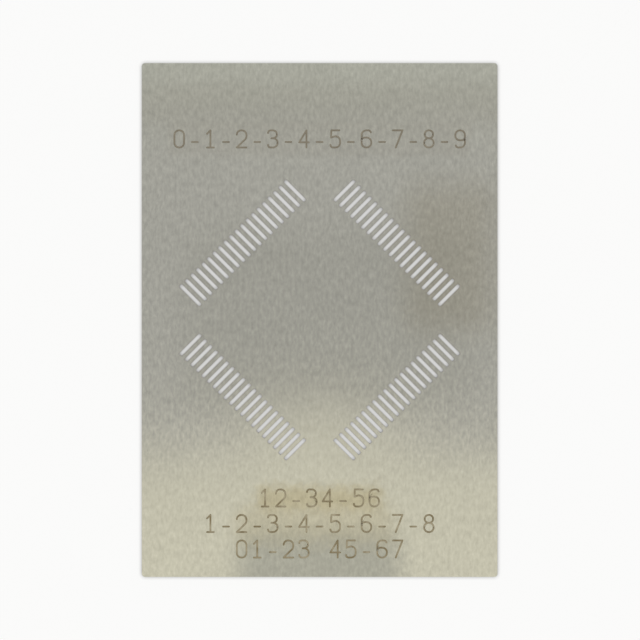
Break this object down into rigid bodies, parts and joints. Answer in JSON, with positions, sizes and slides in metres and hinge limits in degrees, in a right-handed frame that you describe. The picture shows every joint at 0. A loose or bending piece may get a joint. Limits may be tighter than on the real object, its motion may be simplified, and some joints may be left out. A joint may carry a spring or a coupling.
{
  "type": "solder paste stencil",
  "caption": "Small flat stainless steel foil pierced by four rows of narrow slots in a square set on its point, for printing solder paste onto one fine-pitch chip footprint.",
  "frame": {"origin": "centre of the face that lies on the circuit board", "axes": "+Z through the foil from the board side to the squeegee side, +Y along its length, +X along its width"},
  "size_m": [0.0228, 0.033, 0.0001],
  "materials": {
    "foil": "satin rolled stainless foil with a fine lengthwise grain"
  },
  "bodies": {
    "root": {"stencil_foil": "foil"}
  },
  "joints": []
}
